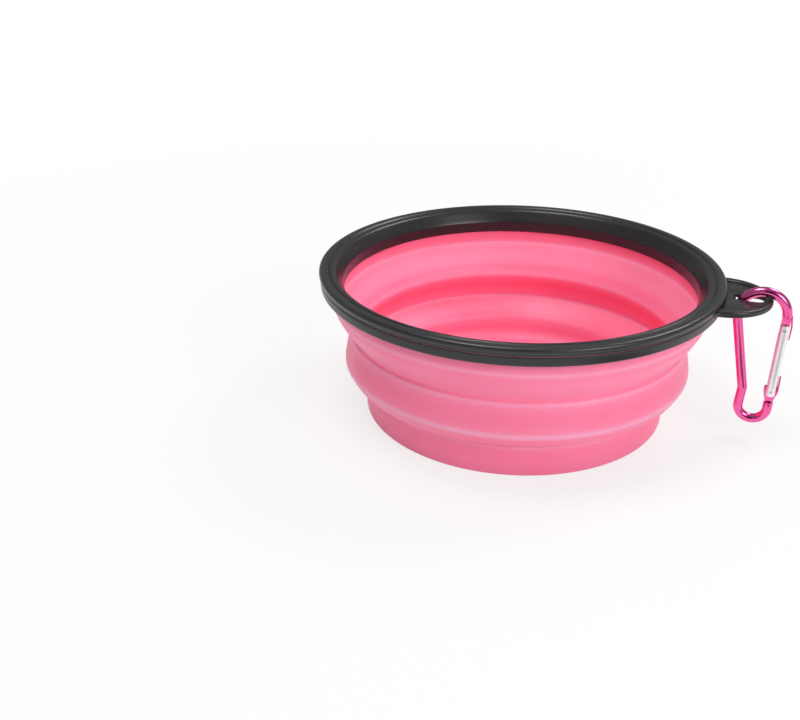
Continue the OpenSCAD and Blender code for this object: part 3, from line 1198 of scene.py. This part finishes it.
    def gate(self) -> None:
        """Builds the gate: a round bar, slotted across both ends."""
        depth = self.pin_back + self.tongue_w / 2.0 + self.slot_deeper
        half_slot = self.tongue_t / 2.0 + self.slot_gap
        long = self.gate_span - 2.0 * self.gate_gap
        draft = Draft()
        bm = draft.bm
        bmesh.ops.create_circle(bm, cap_ends=True, radius=self.gate_r, segments=48)
        for side in (-1.0, 1.0):
            whole = bm.verts[:] + bm.edges[:] + bm.faces[:]
            bmesh.ops.bisect_plane(bm, geom=whole, plane_co=(0.0, side * half_slot, 0.0), plane_no=(0.0, 1.0, 0.0))
        draft.lift(bm.faces[:], long - 2.0 * depth)
        for way in (-1.0, 1.0):
            ends = [
                face
                for face in bm.faces
                if abs(face.normal.z) > 0.9
                and abs(face.calc_center_median().y) > half_slot
                and (face.calc_center_median().z > depth) == (way > 0.0)
            ]
            for end in ends:
                draft.lift([end], way * depth)
        bmesh.ops.recalc_face_normals(bm, faces=bm.faces[:])
        draft.soften(0.14, 2, 50.0)
        draft.place(
            self.along_gate() @ Matrix.Translation((0.0, -self.gate_gap - depth, 0.0)) @ turned(90.0, "X")
        )
        made = draft.piece("gate_bar_turned", self.gate_finish)
        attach(made, Body.GATE.value)
        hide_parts("gate_bar")

    def pin(self, name: str, node: str, radius: float, depth: float) -> None:
        """Builds one cross pin with softly peened ends.

        Args:
            name: the piece's name.
            node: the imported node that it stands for.
            radius: of the pin.
            depth: how far down the gate it sits.
        """
        draft = Draft()
        bmesh.ops.create_cone(
            draft.bm, cap_ends=True, segments=24, radius1=radius, radius2=radius, depth=2.0 * self.gate_r
        )
        draft.soften(0.12, 3, 50.0)
        draft.place(self.along_gate() @ Matrix.Translation((0.0, -depth, 0.0)))
        made = draft.piece(name, self.pin_finish)
        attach(made, Body.GATE.value)
        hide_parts(node)

    def build(self) -> None:
        """Builds the hook's pieces and dresses the two that stay as they are."""
        pin = self.gate_gap + self.pin_back
        self.body()
        self.gate()
        self.pin("hinge_rivet_peened", "hinge_rivet", self.rivet_r, pin)
        self.pin("latch_pin_peened", "latch_pin", self.latch_r, self.gate_span - pin)
        for node in ("gate_spring", "spring_plunger"):
            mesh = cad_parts[node].data
            mesh.materials.clear()
            mesh.materials.append(self.pin_finish)
            LOG.info("%s: dressed", node)


@dataclass(frozen=True)
class Lamp:
    """A soft square lamp: its place, the side of its face in metres, and its watts."""

    name: str
    at: Triple
    size: float
    power: float

    def hang(self, aim: Vector) -> None:
        """Hangs the lamp so that it looks at a point."""
        data = bpy.data.lights.new(self.name, "AREA")
        data.shape = "SQUARE"
        data.size = self.size
        data.energy = self.power
        made = add_object(self.name, data)
        made.location = self.at
        made.rotation_euler = (aim - Vector(self.at)).to_track_quat("-Z", "Y").to_euler()


@dataclass(frozen=True)
class Card:
    """A plain card that only reflections show: its middle, turn in degrees, width and length in metres, and grey."""

    name: str
    at: Triple
    turn: Triple
    size: Pair
    grey: float

    def stand(self) -> None:
        """Sets the card up."""
        draft = Draft()
        bmesh.ops.create_grid(draft.bm, x_segments=1, y_segments=1, size=0.5 / MM)
        material, graph = new_material(self.name)
        dark = graph.node("ShaderNodeEmission", None, {"Color": (self.grey,) * 3, "Strength": 1.0})
        graph.node("ShaderNodeOutputMaterial", None, {"Surface": dark["Emission"]})
        made = draft.piece(self.name, material)
        made.scale = (*self.size, 1.0)
        made.location = self.at
        made.rotation_euler = tuple(math.radians(angle) for angle in self.turn)
        made.visible_camera = False
        made.visible_diffuse = False
        made.visible_shadow = False
        made.visible_transmission = False


@dataclass
class Studio:
    """A white floor with soft light from above, two dark cards for the reflections, and the camera."""

    lens: float = 45.0
    sensor: float = 36.0
    camera_at: Triple = (0.0630, -0.3017, 0.1634)
    pitch: float = 25.93
    yaw: float = 19.02
    floor_half: float = 4.0
    floor_drop: float = 0.00005
    paper: Rgb = (0.8, 0.8, 0.8)
    white_near: float = 0.74
    white_from: float = 0.12
    white_over: float = 0.3
    sky: float = 0.55
    mirrored: float = 0.28
    aim: Triple = (0.0, 0.0, 0.03)
    cards: tuple[Card, ...] = (
        Card("card_behind", (0.24, -0.62, 0.3), (78.0, 0.0, 15.0), (0.32, 0.7), 0.03),
        Card("card_low", (0.1105, -0.0736, 0.0002), (0.0, 0.0, 30.0), (0.06, 0.08), 0.22),
    )
    lamps: tuple[Lamp, ...] = (
        Lamp("softbox_above", (-0.16, -0.13, 0.88), 0.31, 3.0),
        Lamp("softbox_right", (0.78, -0.53, 0.5), 0.43, 3.5),
        Lamp("softbox_edge", (0.42, 0.5, 0.75), 0.32, 2.8),
    )

    def floor(self) -> None:
        """Lays the white floor, which keeps the bowl's shadow."""
        draft = Draft()
        bmesh.ops.create_grid(draft.bm, x_segments=1, y_segments=1, size=self.floor_half / MM)
        made = draft.piece("studio_floor", self.floor_finish())
        made.location.z = -self.floor_drop

    def floor_finish(self) -> bpy.types.Material:
        """White paper: part lit by the lamps, part plain white where it is looked at."""
        material, graph = new_material("white_paper")
        x, y, _ = graph.split(graph.object_place())
        far = (((x * x + y * y) ** 0.5 - self.white_from) / self.white_over).clamped()
        seen = self.looked_at(graph) * (self.white_near + (1.0 - self.white_near) * far)
        paper = graph.node("ShaderNodeBsdfDiffuse", None, {"Color": self.paper})
        white = graph.node("ShaderNodeEmission", None, {"Color": (1.0, 1.0, 1.0), "Strength": 1.0})
        mixed = graph.node("ShaderNodeMixShader", None, {"Fac": seen, 1: paper["BSDF"], 2: white["Emission"]})
        graph.node("ShaderNodeOutputMaterial", None, {"Surface": mixed["Shader"]})
        return material

    @staticmethod
    def looked_at(graph: Graph) -> Signal:
        """1 for rays from the camera and for reflected or passed-on ones."""
        path = graph.node("ShaderNodeLightPath")
        return path["Is Camera Ray"].highest(path["Is Glossy Ray"]).highest(path["Is Transmission Ray"])

    def world(self) -> None:
        """Sets an even sky that looks white."""
        world = bpy.data.worlds.new("studio_air")
        world.use_nodes = True
        bpy.context.scene.world = world
        graph = Graph(world.node_tree)
        path = graph.node("ShaderNodeLightPath")
        seen = path["Is Camera Ray"] * (1.0 - self.sky) + path["Is Glossy Ray"] * (self.mirrored - self.sky)
        air = graph.node("ShaderNodeBackground", None, {"Color": (1.0, 1.0, 1.0), "Strength": seen + self.sky})
        graph.node("ShaderNodeOutputWorld", None, {"Surface": air["Background"]})

    def camera(self) -> None:
        """Sets the camera at the photograph's place."""
        data = bpy.data.cameras.new("camera")
        data.lens = self.lens
        data.sensor_width = self.sensor
        data.clip_start = 0.01
        data.clip_end = 50.0
        made = add_object("camera", data)
        made.location = self.camera_at
        made.rotation_euler = (math.radians(90.0 - self.pitch), 0.0, math.radians(self.yaw))
        bpy.context.scene.camera = made

    def build(self) -> None:
        """Sets camera, floor, sky, cards and lamps."""
        bpy.context.scene.view_settings.view_transform = "Standard"
        self.camera()
        self.floor()
        self.world()
        for card in self.cards:
            card.stand()
        for lamp in self.lamps:
            lamp.hang(Vector(self.aim))


def main() -> None:
    """Builds the studio and every piece."""
    logging.basicConfig(level=logging.INFO, format="%(name)s %(message)s")
    silicone = Silicone("soft_silicone", (1.0, 0.235, 0.4), 0.46, specular=0.4).make()
    plastic = RimPlastic("rim_black_plastic", (0.016, 0.016, 0.018), 0.3).make()
    dyed = Anodised("hook_dyed_metal", (0.95, 0.15, 0.43), 0.17, 1.0).make()
    bright = BareMetal("gate_bright_metal", (0.96, 0.96, 0.97), 0.4, 1.0, tarnish=(0.8, 0.8, 0.81)).make()
    steel = BareMetal("pin_plain_steel", (0.6, 0.6, 0.61), 0.3, 1.0).make()
    Studio().build()
    SoftWall(silicone).build()
    Rim(plastic).build()
    SnapHook(dyed, bright, steel).build()


if __name__ == "__main__":
    main()
